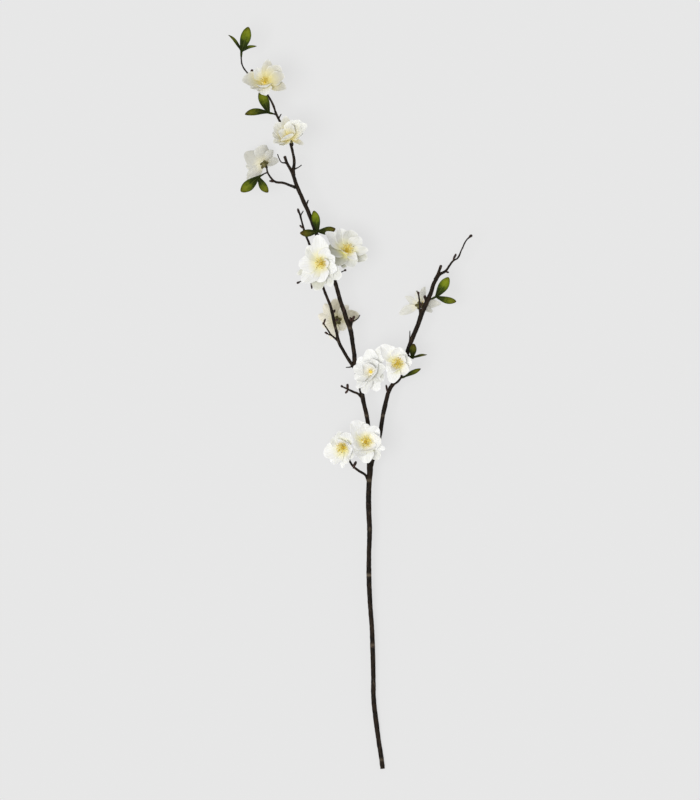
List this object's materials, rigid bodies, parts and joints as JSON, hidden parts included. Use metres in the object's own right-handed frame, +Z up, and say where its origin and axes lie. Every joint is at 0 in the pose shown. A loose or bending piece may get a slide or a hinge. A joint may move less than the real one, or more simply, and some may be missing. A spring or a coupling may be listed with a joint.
{
  "type": "almond blossom branch",
  "caption": "Cut branch of almond blossom, lying down: a dark forked stem with side twigs and buds, open white double blooms with golden stamens, and small green leaves.",
  "frame": {"origin": "middle of the branch's outline seen from above, on the surface it lies on", "axes": "+Y along the branch from its cut end to its tip, +Z up from the surface, +X to the right when looking down with the tip up"},
  "size_m": [0.2939, 0.8927, 0.0742],
  "materials": {
    "wood": "moulded bark, near-black brown, rough and a little uneven",
    "petal": "thin pressed fabric, white with a cream throat, matt",
    "stamen": "golden yellow filaments with orange-brown anthers, matt",
    "calyx": "olive brown, matt",
    "leaf": "printed fabric, yellow-green with a near-black green base, matt"
  },
  "bodies": {
    "root": {"branch": "wood", "petals_top": "petal", "stamens_top": "stamen", "calyx_top": "calyx", "petals_upper": "petal", "stamens_upper": "stamen", "calyx_upper": "calyx", "petals_left_twig": "petal", "stamens_left_twig": "stamen", "calyx_left_twig": "calyx", "petals_pair_left": "petal", "stamens_pair_left": "stamen", "calyx_pair_left": "calyx", "petals_pair_right": "petal", "stamens_pair_right": "stamen", "calyx_pair_right": "calyx", "petals_behind_left": "petal", "stamens_behind_left": "stamen", "calyx_behind_left": "calyx", "petals_behind_right": "petal", "stamens_behind_right": "stamen", "calyx_behind_right": "calyx", "petals_middle_left": "petal", "stamens_middle_left": "stamen", "calyx_middle_left": "calyx", "petals_middle_right": "petal", "stamens_middle_right": "stamen", "calyx_middle_right": "calyx", "petals_low_left": "petal", "stamens_low_left": "stamen", "calyx_low_left": "calyx", "petals_low_right": "petal", "stamens_low_right": "stamen", "calyx_low_right": "calyx", "leaves_tip": "leaf", "leaves_upper": "leaf", "leaves_left_twig": "leaf", "leaves_middle": "leaf", "leaves_right": "leaf", "leaves_fork_low": "leaf", "leaves_fork_high": "leaf"}
  },
  "joints": []
}
